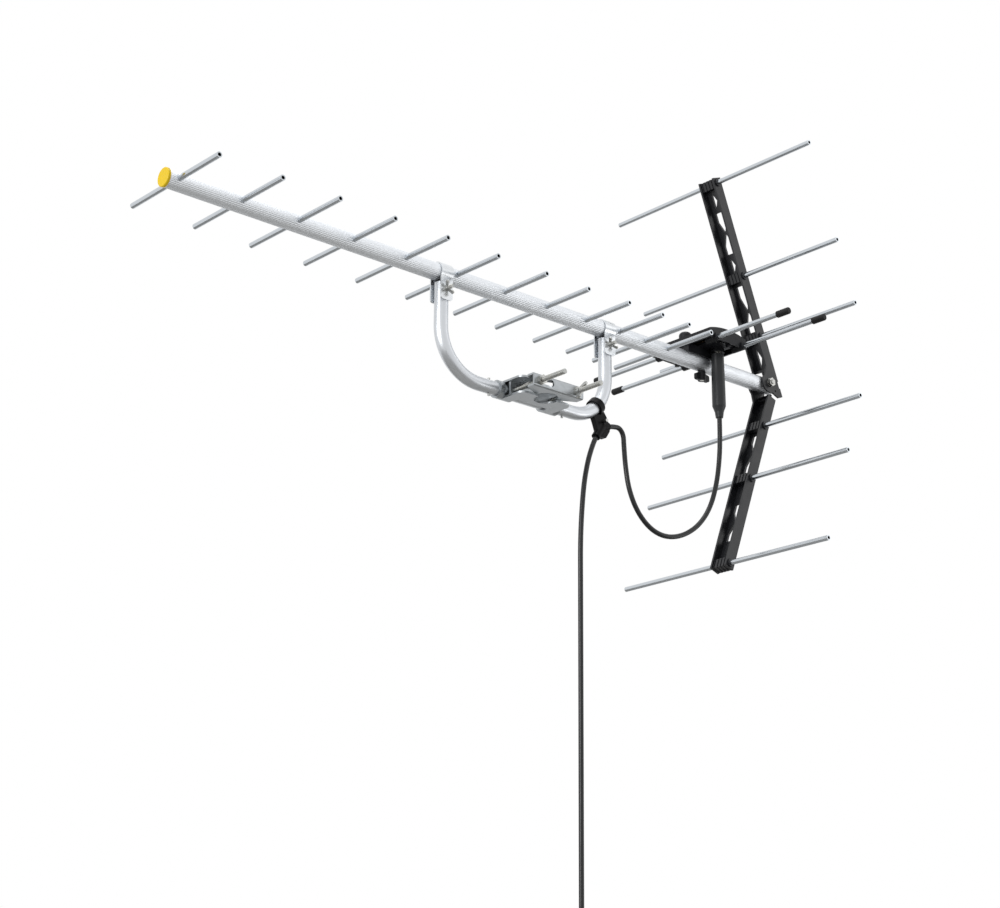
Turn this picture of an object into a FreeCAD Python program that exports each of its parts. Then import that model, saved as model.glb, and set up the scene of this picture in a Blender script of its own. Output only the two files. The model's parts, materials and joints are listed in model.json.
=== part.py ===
import FreeCAD, Part
import math
import os

# UHF television antenna for a mast: a boom with directors, a dipole box with its coaxial lead,
# a folding reflector, a stay arm and a mast clamp. Millimetres. The origin is on the mast's axis,
# level with the stay arm's bottom run. +X runs along the boom to the front, +Y from the boom to
# the mast and +Z up.

# Clearances
FIT = 0.1             # radial gap of a pushed-in or clamped piece
RUNNING = 0.05        # radial gap of a turning piece on its pin
SIDE_GAP = 0.35       # gap beside a piece that turns

# Boom and directors
BOOM_D = 20.0
BOOM_WALL = 1.5
FLUTE_COUNT = 36
FLUTE_DEPTH = 0.25
FRONT_GAPS = (72.0, 72.0, 72.0, 72.0, 76.0)  # forwards from the director behind the front clamp
MIDDLE_GAPS = (72.0, 65.0, 63.0)              # backwards from the same director
REAR_GAPS = (45.0, 38.0)                      # backwards from the director behind the rear clamp
BEHIND_FRONT_CLAMP = 14.8
BEHIND_REAR_CLAMP = 16.2
SHORT_DIRECTORS = 8
SHORT_DIRECTOR_LENGTH = 158.0
LONG_DIRECTOR_LENGTH = 162.4
ELEMENT_D = 6.4
ELEMENT_WALL = 1.2
NOSE = 11.0           # boom in front of the first director
CAP_RIM_D = 20.8
CAP_RIM = 3.2
CAP_PLUG = 12.0
CAP_EDGE = 1.0

# Stay arm, a bent tube below the boom
STAY_OFFSET = 33.0    # from the mast's axis to the plane of boom and stay arm
STAY_DROP = 116.5     # from the boom's axis down to the bottom run
STAY_SPAN = 253.6     # between the two uprights
STAY_D = 16.0
STAY_WALL = 1.2
STAY_BEND_R = 55.0
STAY_TOP_GAP = 2.0    # between the boom and the tops of the uprights

# Boom clamps, one on each upright
STRAP_WIDTH = 17.0
STRAP_T = 1.6
STRAP_EAR = 34.0      # from the boom's axis down to the ears' ends
STRAP_CORNER = 3.5
CLAMP_BOLT_D = 5.0
CLAMP_HEX_AF = 8.0
CLAMP_WING_SIZE = 0.66   # its wing nuts beside the mast clamp's
CLAMP_BOLT_DROP = 20.5
CLAMP_BOLT_REACH = 19.0
HEX_AF = 10.0
HEX_HEIGHT = 3.5
WASHER_D = 11.0
WASHER_T = 1.2
WING_HUB_D = 10.0
WING_HUB_TOP_D = 8.4
WING_HUB_HEIGHT = 6.0
WING_SPAN = 25.0
WING_HEIGHT = 11.0
WING_T = 2.2
WING_CORNER = 2.6
WING_TOP = 5.0         # width of each wing's outer end
WING_ROOT = 4.5        # wings' lower edge starts this far from the axis

# Mast clamp
MAST_D = 27.2
SHEET_T = 2.3
BRACKET_LENGTH = 92.0
BRACKET_JAW = 3.0     # legs reach this far past the mast's axis
BRACKET_SHOULDER = 76.0
BRACKET_CORNER = 9.0
BRACKET_COLLAR = 12.8  # each end closes round the tube for this length
BRACKET_WINDOW = 48.0  # opening under the tube, between the ends
MAST_BOLT_SPACING = 55.0
MAST_BOLT_D = 6.0
MAST_BOLT_REACH = 62.0
ANCHOR_T = 3.0
ANCHOR_LENGTH = 72.0
ANCHOR_TAB = 9.0
ANCHOR_TAB_SPACING = 34.0
SADDLE_LENGTH = 75.0
SADDLE_HEIGHT = 15.0
SADDLE_WEB_Y = 22.0   # outer face of the web
SADDLE_JAW = 1.6      # flanges end this far from the mast's axis
KEYHOLE_D = 9.0
KEYHOLE_SHIFT = 15.5
STAY_PIN_D = 3.0
STAY_PIN_LENGTH = 21.0
STAY_PIN_GAP = 8.5    # between the bracket and each pin

# Dipole box and rods
DIPOLE_FRONT_X = -272.0
DIPOLE_SPACING = 47.0
DIPOLE_ROD_D = 6.2
DIPOLE_ROD_WALL = 1.0
DIPOLE_RISE = 16.0    # rods above the boom's axis
FRONT_DIPOLE_SPAN = 328.0   # over the tips
REAR_DIPOLE_SPAN = 358.0
TIP_D = 8.4
TIP_LENGTH = 18.0
TIP_WALL = 1.8
TIP_ROUND = 1.5
HOUSING_WIDTH = 98.0
HOUSING_AHEAD = 12.5  # front wall in front of the front rods
HOUSING_BEHIND = 6.0  # rear wall behind the rear rods
HOUSING_WALL = 2.4
HOUSING_EDGE_TOP = 25.5
HOUSING_CROWN = 30.5
HOUSING_FOOT = 13.5   # lower edges above the boom's axis
SOCKET_D = 10.4
SOCKET_DEPTH = 16.0
SOCKET_LIP = 2.5
DOME_D = 16.0
DOME_AHEAD = 4.0       # dome in front of the front rods
DOME_TOP = 34.5
SADDLE_BLOCK_WIDTH = 23.6
POST_D = 6.0
POST_INSET = 6.0
POST_FOOT = 9.2        # posts' ends above the boom's axis
POST_BACK = 26.0       # posts behind the front dipole rods
FLOOR_T = 2.0
BOARD_T = 1.6
KNOB_BOLT_BACK = 24.0  # housing bolt behind the front dipole rods
KNOB_BOLT_D = 5.0
KNOB_D = 10.0
KNOB_HEIGHT = 12.0
KNOB_SPAN = 23.0
KNOB_WING_T = 4.5
KNOB_WING_HEIGHT = 10.0

# Coaxial outlet and lead
OUTLET_BACK = 32.0     # outlet behind the front dipole rods
OUTLET_SIDE = 20.0     # outlet beside the boom, on the mast's side
OUTLET_BOSS_D = 17.0
OUTLET_FOOT = 11.0     # boss's end above the boom's axis
JACK_D = 9.4
JACK_BORE = 5.0
JACK_LENGTH = 20.0
BOOT_D = 16.8
BOOT_NECK_D = 15.6
BOOT_GAP = 2.5         # bare jack between the boss and the boot
BOOT_LENGTH = 67.6
NOZZLE_D = 9.2
NOZZLE_LENGTH = 15.0
BOOT_ROUND = 3.0
LEAD_D = 6.0
# Lead's points: the loop from the outlet's nozzle on, then from the clip's holder, as offsets
LOOP_FROM_OUTLET = (
    (0.0, 0.0, 0.0), (0.0, 0.0, -19.5), (0.5, -1.2, -49.5), (4.5, -3.5, -83.5), (15.0, -5.5, -116.5),
    (34.0, -7.5, -142.5), (60.0, -9.5, -160.0), (87.0, -11.5, -167.0),
)
LOOP_TO_CLIP = (
    (-63.1, 6.5, -115.0), (-43.1, 4.5, -97.5), (-31.1, 2.5, -71.5), (-27.3, 1.2, -42.5),
    (-26.3, 0.3, -17.6), (-26.1, 0.0, -3.9), (-19.4, 0.0, 3.4), (-8.0, 0.0, 2.1), (0.0, 0.0, 0.0),
)
DROP_FROM_CLIP = (
    (0.0, 0.0, 0.0), (9.6, 0.0, -2.52), (19.7, 0.0, -17.1), (26.5, 0.0, -31.5), (33.4, 0.0, -50.5),
    (40.5, 0.0, -81.5), (45.8, -0.2, -139.0), (49.9, 0.0, -600.5),
)
PLUG_NUT_AF = 11.0
PLUG_NUT_LENGTH = 9.0
PLUG_SLEEVE_D = 8.4
PLUG_SLEEVE_LENGTH = 17.0
PLUG_PIN_D = 1.0
PLUG_PIN_LENGTH = 12.0

# Cable clip on the stay arm's rear bend
CLIP_WIDTH = 8.0
CLIP_T = 2.6
CLIP_NECK = 7.0
CLIP_BARREL_D = 10.6   # round the lead
CLIP_OUTLINE = (       # neck beside the bend's middle, forwards and up
    (-9.5, -4.0), (7.5, -10.5), (2.5, -22.0), (-2.5, -36.5), (-13.0, -37.0), (-19.5, -27.0),
    (-18.5, -19.0), (-14.5, -10.6),
)
CLIP_CORNER = 2.4
CLIP_SCREW_D = 4.0
CLIP_SCREW_HEAD_D = 7.0
CLIP_SCREW_TIP = 6.5   # screw's end beyond the clip, on the mast's side
CLIP_SCREW_BACK = 8.8  # screw behind the bend's middle
CLIP_SCREW_DROP = 17.0
CLIP_HOLDER_BACK = 19.3   # holder behind the bend's middle
CLIP_HOLDER_DROP = 20.5   # holder below the bend's middle

# Reflector
PIVOT_X = -410.0
PIVOT_BOLT_D = 6.0
BOOM_TAIL = 14.0       # boom behind the pivot
LEAN = 21.0            # degrees of the arms from upright, towards the front
ROD_SETBACK = 10.0     # rods behind the line from the pivot along the arm
INNER_ROD = 61.0       # rods' distances from the pivot along the arm
MIDDLE_ROD = 142.0
OUTER_ROD = 267.5
REFLECTOR_ROD_LENGTH = 330.0
RAIL_T = 2.5           # rails and ears
RAIL_DEPTH = 14.5
RAIL_START = 16.5      # rail without an ear begins this far from the pivot
EAR_R = 13.0
EAR_SHOULDER = 22.0    # ear runs out into its rail this far from the pivot
EAR_TAIL = 21.5        # ear's reach beyond the pivot
EAR_TAIL_WIDTH = 8.0
EAR_POCKET = 3.5       # shallow pocket at the ear's rear edge
EAR_POCKET_LENGTH = 9.0
EAR_POCKET_DROP = 1.0
EAR_HOLE_D = 2.6
EAR_HOLE_BACK = 6.4
EAR_HOLE_DROP = 12.0
WEB_T = 3.0
WEB_BACK = 1.5         # web in front of the rails' rear edges
WEB_START = 7.0        # web begins this far from the pivot, clear of the boom
HUB_WALL = 3.0         # cross wall above the boom
HUB_REACH = 9.25
ARM_END = 6.5          # arm beyond the outermost rod
BOSS_LENGTH = 12.0
BOSS_RECESS = 1.75     # bosses' front below the rails' edges
COLLAR_D = 10.4        # round each rod, on both sides of the arm
COLLAR_T = 1.8
GROOVE = 1.8           # grooves across each boss and the arm's end
GROOVE_DEPTH = 0.9
GROOVES = 4
STRUT = 3.6            # between two windows of the web
LONG_RIB = 0.486       # rib's place between the middle and outer rods
SHORT_RIB = 0.45       # rib's place between the inner and middle rods
LONG_BAY = 0.46        # windows' lengths, as shares of the half field between two bosses
LONG_SLIT = 0.43
SHORT_INNER_BAY = 0.76
SHORT_OUTER_BAY = 0.93
PIVOT_SLIT = 30.0
BAY_HALF = 6.8
BAY_TURN = 0.45        # share of a bay that keeps its full width
BAY_POINT = 0.9
SLIT_SIDE = 4.3
SLIT_POINT = 1.6
WINDOW_CORNER = 0.8

# Places worked out from the sizes above
BOOM_R = BOOM_D / 2
STAY_R = STAY_D / 2
MAST_R = MAST_D / 2
BOOM_Y = -STAY_OFFSET
BOOM_Z = STAY_DROP
DIPOLE_Z = BOOM_Z + DIPOLE_RISE
DIPOLE_REAR_X = DIPOLE_FRONT_X - DIPOLE_SPACING
HOUSING_FRONT_X = DIPOLE_FRONT_X + HOUSING_AHEAD
HOUSING_REAR_X = DIPOLE_REAR_X - HOUSING_BEHIND
BOOM_REAR_X = PIVOT_X - BOOM_TAIL
UPRIGHT_X = STAY_SPAN / 2
BOOM_FRONT_X = UPRIGHT_X - BEHIND_FRONT_CLAMP + sum(FRONT_GAPS) + NOSE
UPRIGHT_TOP = BOOM_Z - BOOM_R - STAY_TOP_GAP
TROUGH_R = STAY_R + FIT
LEG_OUT = TROUGH_R + SHEET_T
OUTLET_X = DIPOLE_FRONT_X - OUTLET_BACK
OUTLET_Y = BOOM_Y + OUTLET_SIDE
KNOB_X = DIPOLE_FRONT_X - KNOB_BOLT_BACK

ROD_STATIONS = (INNER_ROD, MIDDLE_ROD, OUTER_ROD)

X_AXIS = FreeCAD.Vector(1, 0, 0)
Y_AXIS = FreeCAD.Vector(0, 1, 0)
Z_AXIS = FreeCAD.Vector(0, 0, 1)


def point(x, y, z):
    return FreeCAD.Vector(x, y, z)


def save(name, shape):
    """Write one node, with its solids checked."""
    solids = shape.Solids
    if not solids or not all(solid.isValid() for solid in solids):
        raise ValueError(name + " is not a valid solid")
    kept = solids[0] if len(solids) == 1 else Part.makeCompound(solids)
    kept.exportStep(os.path.join("parts", name + ".step"))


def block(low, high):
    """Box between two corners."""
    size = high.sub(low)
    return Part.makeBox(size.x, size.y, size.z, low)


def cylinder(diameter, start, axis, length):
    return Part.makeCylinder(diameter / 2, length, start, axis)


def tube(outer_d, wall, start, axis, length):
    outer = cylinder(outer_d, start, axis, length)
    return outer.cut(cylinder(outer_d - 2 * wall, start, axis, length))


def prism(points, along):
    """Straight-sided outline pushed along a vector."""
    outline = Part.makePolygon(list(points) + [points[0]])
    return Part.Face(outline).extrude(along)


def rounded_wire(points, radius):
    """Closed outline with every corner rounded, the radius cut down where a side is short."""
    edges = []
    ends = []
    count = len(points)
    for i in range(count):
        corner = points[i]
        back = points[i - 1].sub(corner)
        ahead = points[(i + 1) % count].sub(corner)
        half = back.getAngle(ahead) / 2
        trim = min(radius / math.tan(half), 0.45 * back.Length, 0.45 * ahead.Length)
        enter = corner.add(back.normalize().multiply(trim))
        leave = corner.add(ahead.normalize().multiply(trim))
        inward = enter.add(leave).multiply(0.5).sub(corner).normalize()
        reach = trim / math.cos(half)
        middle = corner.add(inward.multiply(reach - trim * math.tan(half)))
        ends.append((enter, middle, leave))
    for i in range(count):
        enter, middle, leave = ends[i]
        edges.append(Part.Arc(enter, middle, leave).toShape())
        edges.append(Part.LineSegment(leave, ends[(i + 1) % count][0]).toShape())
    return Part.Wire(edges)


def rounded_prism(points, radius, along):
    return Part.Face(rounded_wire(points, radius)).extrude(along)


def hexagon(across_flats, start, axis, height):
    """Hexagonal prism about an axis along X, Y or Z."""
    corner = across_flats / math.sqrt(3)
    side = Z_AXIS if abs(axis.z) < 0.5 else X_AXIS
    other = axis.cross(side)
    corners = []
    for i in range(6):
        angle = math.radians(60 * i)
        spoke = FreeCAD.Vector(side).multiply(corner * math.cos(angle))
        corners.append(start.add(spoke).add(FreeCAD.Vector(other).multiply(corner * math.sin(angle))))
    return prism(corners, FreeCAD.Vector(axis).multiply(height))


def fuse(shapes):
    whole = shapes[0].fuse(shapes[1:]) if len(shapes) > 1 else shapes[0]
    return whole.removeSplitter()


def bolt(diameter, across_flats, head_at, axis, length):
    """Hexagon-headed bolt: the head lies behind head_at, the shank runs along the axis."""
    back = FreeCAD.Vector(axis).multiply(-1)
    head = hexagon(across_flats, head_at, back, HEX_HEIGHT)
    return fuse([head, cylinder(diameter, head_at, axis, length)])


def hex_nut(diameter, seat, axis):
    nut = hexagon(HEX_AF, seat, axis, HEX_HEIGHT + WASHER_T)
    washer = cylinder(WASHER_D, seat, axis, WASHER_T)
    return fuse([nut, washer]).cut(cylinder(diameter + 2 * FIT, seat, axis, HEX_HEIGHT + WASHER_T))


def wing_nut(diameter, seat, axis, wings, size):
    """Pressed wing nut on a washer: wings spread along the vector wings. Size 1 is the mast clamp's."""
    side = axis.cross(wings)
    foot = WASHER_T * size
    hub_height = WING_HUB_HEIGHT * size
    reach = WING_SPAN * size / 2
    top = WING_HEIGHT * size
    thickness = WING_T * size

    def place(across, up):
        spread = FreeCAD.Vector(wings).multiply(across)
        raised = FreeCAD.Vector(axis).multiply(up)
        return seat.add(spread).add(raised).sub(FreeCAD.Vector(side).multiply(thickness / 2))

    pieces = [cylinder(WASHER_D * size, seat, axis, foot),
              Part.makeCone(WING_HUB_D * size / 2, WING_HUB_TOP_D * size / 2, hub_height, seat, axis)]
    inner = diameter / 2 + FIT
    root = max(WING_ROOT * size, inner + WASHER_T * size)
    wing = ((inner, foot), (root, foot), (reach, top * 0.55), (reach, top),
            (reach - WING_TOP * size, top), (inner, hub_height * 0.75))
    for hand in (-1, 1):
        outline = [place(hand * across, up) for across, up in wing]
        across = FreeCAD.Vector(side).multiply(thickness)
        pieces.append(rounded_prism(outline, WING_CORNER * size, across))
    return fuse(pieces).cut(cylinder(diameter + 2 * FIT, seat, axis, top))


def stepped(start, gaps, way):
    """Places one gap after another from a start, towards the front (1) or the rear (-1)."""
    places = []
    for gap in gaps:
        start += way * gap
        places.append(start)
    return places


def director_places():
    """X of every director, front to rear. Two of them stand just behind the boom clamps."""
    front = UPRIGHT_X - BEHIND_FRONT_CLAMP
    rear = -UPRIGHT_X - BEHIND_REAR_CLAMP
    ahead = stepped(front, FRONT_GAPS, 1)
    between = stepped(front, MIDDLE_GAPS, -1)
    return ahead[::-1] + [front] + between + [rear] + stepped(rear, REAR_GAPS, -1)


def fluted_section(x):
    """Boom's outline across its length: shallow grooves side by side."""
    edges = []
    step = 2 * math.pi / FLUTE_COUNT

    def rim(angle, radius):
        return point(x, BOOM_Y + radius * math.cos(angle), BOOM_Z + radius * math.sin(angle))

    for i in range(FLUTE_COUNT):
        start = i * step
        groove = rim(start + step / 2, BOOM_R - FLUTE_DEPTH)
        edges.append(Part.Arc(rim(start, BOOM_R), groove, rim(start + step, BOOM_R)).toShape())
    return Part.Face(Part.Wire(edges))


def boom():
    length = BOOM_FRONT_X - BOOM_REAR_X
    body = fluted_section(BOOM_REAR_X).extrude(point(length, 0, 0))
    cuts = [cylinder(BOOM_D - 2 * BOOM_WALL, point(BOOM_REAR_X, BOOM_Y, BOOM_Z), X_AXIS, length)]
    for x in director_places():
        start = point(x, BOOM_Y - BOOM_D, BOOM_Z)
        cuts.append(cylinder(ELEMENT_D + 2 * FIT, start, Y_AXIS, 2 * BOOM_D))
    start = point(PIVOT_X, BOOM_Y - BOOM_D, BOOM_Z)
    cuts.append(cylinder(PIVOT_BOLT_D + 2 * FIT, start, Y_AXIS, 2 * BOOM_D))
    start = point(KNOB_X, BOOM_Y, BOOM_Z - BOOM_D)
    cuts.append(cylinder(KNOB_BOLT_D + 2 * FIT, start, Z_AXIS, 2 * BOOM_D))
    return body.cut(cuts)


def boom_front_cap():
    face = point(BOOM_FRONT_X, BOOM_Y, BOOM_Z)
    rim = cylinder(CAP_RIM_D, face, X_AXIS, CAP_RIM)
    front = [edge for edge in rim.Edges if edge.BoundBox.XMin > BOOM_FRONT_X + CAP_RIM / 2]
    rim = rim.makeFillet(CAP_EDGE, front)
    plug_d = BOOM_D - 2 * BOOM_WALL - 2 * FIT
    plug_start = BOOM_FRONT_X - min(CAP_PLUG, NOSE - ELEMENT_D / 2 - 1)
    plug = tube(plug_d, BOOM_WALL, point(plug_start, BOOM_Y, BOOM_Z), X_AXIS, BOOM_FRONT_X - plug_start)
    return fuse([rim, plug])


def cross_rod(x, y, z, length, diameter, wall):
    """Tube along Y, centred on the boom."""
    return tube(diameter, wall, point(x, y - length / 2, z), Y_AXIS, length)


def stay_path():
    """Middle line of the stay arm, from the front upright's top to the rear upright's top."""
    bend = STAY_BEND_R * (1 - math.sqrt(0.5))

    def at(x, z):
        return point(x, BOOM_Y, z)

    side = UPRIGHT_X
    radius = STAY_BEND_R
    return Part.Wire([
        Part.LineSegment(at(side, UPRIGHT_TOP), at(side, radius)).toShape(),
        Part.Arc(at(side, radius), at(side - bend, bend), at(side - radius, 0)).toShape(),
        Part.LineSegment(at(side - radius, 0), at(radius - side, 0)).toShape(),
        Part.Arc(at(radius - side, 0), at(bend - side, bend), at(-side, radius)).toShape(),
        Part.LineSegment(at(-side, radius), at(-side, UPRIGHT_TOP)).toShape(),
    ])


def sweep_round(path, diameter):
    """Round bar along a path of straight runs and arcs."""
    start = path.OrderedVertexes[0].Point
    first = path.OrderedEdges[0]
    direction = first.tangentAt(first.FirstParameter)
    if path.OrderedVertexes[0].Point.distanceToPoint(first.valueAt(first.FirstParameter)) > 1e-6:
        direction = first.tangentAt(first.LastParameter).multiply(-1)
    ring = Part.Wire(Part.Circle(start, direction, diameter / 2).toShape())
    return path.makePipeShell([ring], True, False)


def stay_pin_places():
    return [hand * (BRACKET_LENGTH / 2 + STAY_PIN_GAP + STAY_PIN_D / 2) for hand in (1, -1)]


def stay_arm():
    path = stay_path()
    body = sweep_round(path, STAY_D).cut(sweep_round(path, STAY_D - 2 * STAY_WALL))
    cuts = []
    for side in (1, -1):
        start = point(side * UPRIGHT_X, BOOM_Y - STAY_D, BOOM_Z - CLAMP_BOLT_DROP)
        cuts.append(cylinder(CLAMP_BOLT_D + 2 * FIT, start, Y_AXIS, 2 * STAY_D))
    for x in stay_pin_places():
        cuts.append(cylinder(STAY_PIN_D + 2 * FIT, point(x, BOOM_Y, -STAY_D), Z_AXIS, 2 * STAY_D))
    return body.cut(cuts)


def stay_pins():
    """Two cross pins that stop the bracket from sliding along the bottom run."""
    pins = [cylinder(STAY_PIN_D, point(x, BOOM_Y, -STAY_PIN_LENGTH / 2), Z_AXIS, STAY_PIN_LENGTH)
            for x in stay_pin_places()]
    return Part.makeCompound(pins)


def boom_clamp(x):
    """Sheet strap over the boom, its ears pinching the upright's top."""
    inner_ear = STAY_R + FIT
    outer_ear = inner_ear + STRAP_T
    start = point(x - STRAP_WIDTH / 2, BOOM_Y, BOOM_Z)
    foot = BOOM_Z - STRAP_EAR

    def slab(half, low, high):
        far = point(start.x + STRAP_WIDTH, BOOM_Y + half, high)
        return block(point(start.x, BOOM_Y - half, low), far)

    around = cylinder(BOOM_D + 2 * (FIT + STRAP_T), start, X_AXIS, STRAP_WIDTH)
    outside = around.fuse(slab(outer_ear, foot, BOOM_Z))
    hollow = cylinder(BOOM_D + 2 * FIT, start, X_AXIS, STRAP_WIDTH)
    strap = outside.cut([hollow, slab(inner_ear, foot - 1, BOOM_Z)])
    reach = 2 * BOOM_D
    top = BOOM_Z + BOOM_D
    outline = [point(start.x, BOOM_Y - reach, top), point(start.x + STRAP_WIDTH, BOOM_Y - reach, top),
               point(start.x + STRAP_WIDTH, BOOM_Y - reach, foot), point(start.x, BOOM_Y - reach, foot)]
    strap = strap.common(rounded_prism(outline, STRAP_CORNER, point(0, 2 * reach, 0)))
    hole_start = point(x, BOOM_Y - reach, BOOM_Z - CLAMP_BOLT_DROP)
    hole = cylinder(CLAMP_BOLT_D + 2 * FIT, hole_start, Y_AXIS, 2 * reach)
    return strap.cut(hole).removeSplitter()


def clamp_bolt(x):
    head_at = point(x, BOOM_Y - STAY_R - FIT - STRAP_T, BOOM_Z - CLAMP_BOLT_DROP)
    length = STAY_R + FIT + STRAP_T + CLAMP_BOLT_REACH
    return bolt(CLAMP_BOLT_D, CLAMP_HEX_AF, head_at, Y_AXIS, length)


def clamp_wing_nut(x, turn):
    seat = point(x, BOOM_Y + STAY_R + FIT + STRAP_T, BOOM_Z - CLAMP_BOLT_DROP)
    wings = FreeCAD.Vector(math.cos(math.radians(turn)), 0, math.sin(math.radians(turn)))
    return wing_nut(CLAMP_BOLT_D, seat, Y_AXIS, wings, CLAMP_WING_SIZE)


def bracket_plan():
    """Plan of the mast bracket's legs, from behind the tube to their ends at the mast."""
    shoulder = BRACKET_SHOULDER / 2
    back = BOOM_Y - LEG_OUT - 1
    low = -2 * LEG_OUT
    return [point(x, y, low) for x, y in (
        (-shoulder, back), (shoulder, back), (shoulder, BRACKET_JAW), (-shoulder, BRACKET_JAW))]


def anchor_slots(clearance):
    """Tabs of the anchor plate, or with a clearance the slots that they pass through."""
    back = BOOM_Y + STAY_R + HEX_HEIGHT + FIT - clearance
    half = ANCHOR_TAB / 2 + clearance
    tabs = []
    for hand in (-1, 1):
        x = hand * ANCHOR_TAB_SPACING / 2
        tabs.append(block(point(x - half, back, -LEG_OUT),
                          point(x + half, back + ANCHOR_T + 2 * clearance, LEG_OUT)))
    return tabs


def mast_notch():
    """Space of the mast, open to both sides along Y."""
    tall = 4 * LEG_OUT
    return cylinder(MAST_D, point(0, 0, -tall / 2), Z_AXIS, tall)


def mast_bracket():
    """Sheet folded round the stay arm's bottom run, both legs notched for the mast."""
    length = BRACKET_LENGTH
    start = point(-length / 2, BOOM_Y, 0)

    def channel(half):
        legs = block(point(-length / 2, BOOM_Y, -half), point(length / 2, 2 * MAST_R, half))
        return cylinder(2 * half, start, X_AXIS, length).fuse(legs)

    sheet = channel(LEG_OUT).cut(channel(TROUGH_R))
    sheet = sheet.common(rounded_prism(bracket_plan(), BRACKET_CORNER, point(0, 0, 4 * LEG_OUT)))
    collars = []
    for x in (-length / 2, length / 2 - BRACKET_COLLAR):
        collars.append(tube(2 * LEG_OUT, SHEET_T, point(x, BOOM_Y, 0), X_AXIS, BRACKET_COLLAR))
    half = BRACKET_WINDOW / 2
    near = BOOM_Y + LEG_OUT
    far = BOOM_Y - 2 * LEG_OUT
    window = [point(x, y, 0) for x, y in ((-half, far), (half, far), (half, near), (-half, near))]
    under = rounded_prism(window, BRACKET_CORNER / 2, point(0, 0, -2 * LEG_OUT))
    mouth = block(point(-MAST_R, 0, -2 * LEG_OUT), point(MAST_R, MAST_D, 2 * LEG_OUT))
    sheet = sheet.cut([mast_notch(), mouth, under] + anchor_slots(FIT))
    return fuse([sheet] + collars)


def anchor_plate():
    """Plate that the mast bolts' heads pull on, its tabs held in the bracket's legs."""
    back = BOOM_Y + STAY_R + HEX_HEIGHT + FIT
    half = TROUGH_R - FIT
    end = ANCHOR_LENGTH / 2
    plate = block(point(-end, back, -half), point(end, back + ANCHOR_T, half))
    plate = fuse([plate] + anchor_slots(0))
    hole_d = MAST_BOLT_D + 2 * FIT
    holes = [cylinder(hole_d, point(x, back, 0), Y_AXIS, ANCHOR_T) for x in mast_bolt_places()]
    return plate.cut(holes)


def mast_bolt_places():
    return (MAST_BOLT_SPACING / 2, -MAST_BOLT_SPACING / 2)


def mast_bolt(x):
    back = BOOM_Y + STAY_R + HEX_HEIGHT + FIT
    return bolt(MAST_BOLT_D, HEX_AF, point(x, back, 0), Y_AXIS, MAST_BOLT_REACH - back)


def mast_saddle():
    """Channel that presses on the mast from outside, with a keyhole to swing it off."""
    half_l = SADDLE_LENGTH / 2
    half_h = SADDLE_HEIGHT / 2
    outside = block(point(-half_l, SADDLE_JAW, -half_h), point(half_l, SADDLE_WEB_Y, half_h))
    inner_h = half_h - SHEET_T
    inside = block(point(-half_l, SADDLE_JAW, -inner_h), point(half_l, SADDLE_WEB_Y - SHEET_T, inner_h))
    bends = [edge for edge in outside.Edges
             if edge.BoundBox.XLength > half_l and edge.BoundBox.YMin > SADDLE_WEB_Y - 0.01]
    channel = outside.makeFillet(SHEET_T, bends).cut(inside)
    ends = [point(-half_l, SADDLE_WEB_Y, -2 * half_h), point(half_l, SADDLE_WEB_Y, -2 * half_h),
            point(half_l, SADDLE_WEB_Y / 2, -2 * half_h),
            point(MAST_R + 2 * SHEET_T, SADDLE_JAW, -2 * half_h),
            point(-MAST_R - 2 * SHEET_T, SADDLE_JAW, -2 * half_h),
            point(-half_l, SADDLE_WEB_Y / 2, -2 * half_h)]
    channel = channel.common(prism(ends, point(0, 0, 4 * half_h)))
    web = SADDLE_WEB_Y - SHEET_T
    front, rear = mast_bolt_places()
    hole_d = MAST_BOLT_D + 6 * FIT
    slot_end = front - KEYHOLE_SHIFT
    cuts = [mast_notch(), cylinder(hole_d, point(rear, web, 0), Y_AXIS, SHEET_T),
            cylinder(hole_d, point(front, web, 0), Y_AXIS, SHEET_T),
            block(point(slot_end, web, -hole_d / 2), point(front, SADDLE_WEB_Y, hole_d / 2)),
            cylinder(KEYHOLE_D, point(slot_end, web, 0), Y_AXIS, SHEET_T)]
    return channel.cut(cuts).removeSplitter()


def housing_section(inset):
    """Crowned outline of the dipole box seen along Y, set in by a wall where asked."""
    front = HOUSING_FRONT_X - inset
    rear = HOUSING_REAR_X + inset
    middle = (front + rear) / 2
    y = BOOM_Y - HOUSING_WIDTH / 2 + inset
    foot = BOOM_Z + HOUSING_FOOT
    edge = BOOM_Z + HOUSING_EDGE_TOP - inset
    crown = BOOM_Z + HOUSING_CROWN - inset
    roof = Part.Arc(point(front, y, edge), point(middle, y, crown), point(rear, y, edge)).toShape()
    rest = Part.makePolygon([point(rear, y, edge), point(rear, y, foot), point(front, y, foot),
                             point(front, y, edge)])
    width = HOUSING_WIDTH - 2 * inset
    return Part.Face(Part.Wire([roof] + rest.Edges)).extrude(point(0, width, 0))


def dipole_sockets(diameter, depth, lip):
    """Barrels that take the four rods, at both ends of the box."""
    barrels = []
    for x in (DIPOLE_FRONT_X, DIPOLE_REAR_X):
        for hand in (-1, 1):
            start = point(x, BOOM_Y + hand * (HOUSING_WIDTH / 2 - depth), DIPOLE_Z)
            axis = FreeCAD.Vector(0, hand, 0)
            barrels.append(cylinder(diameter, start, axis, depth + lip))
    return barrels


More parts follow.
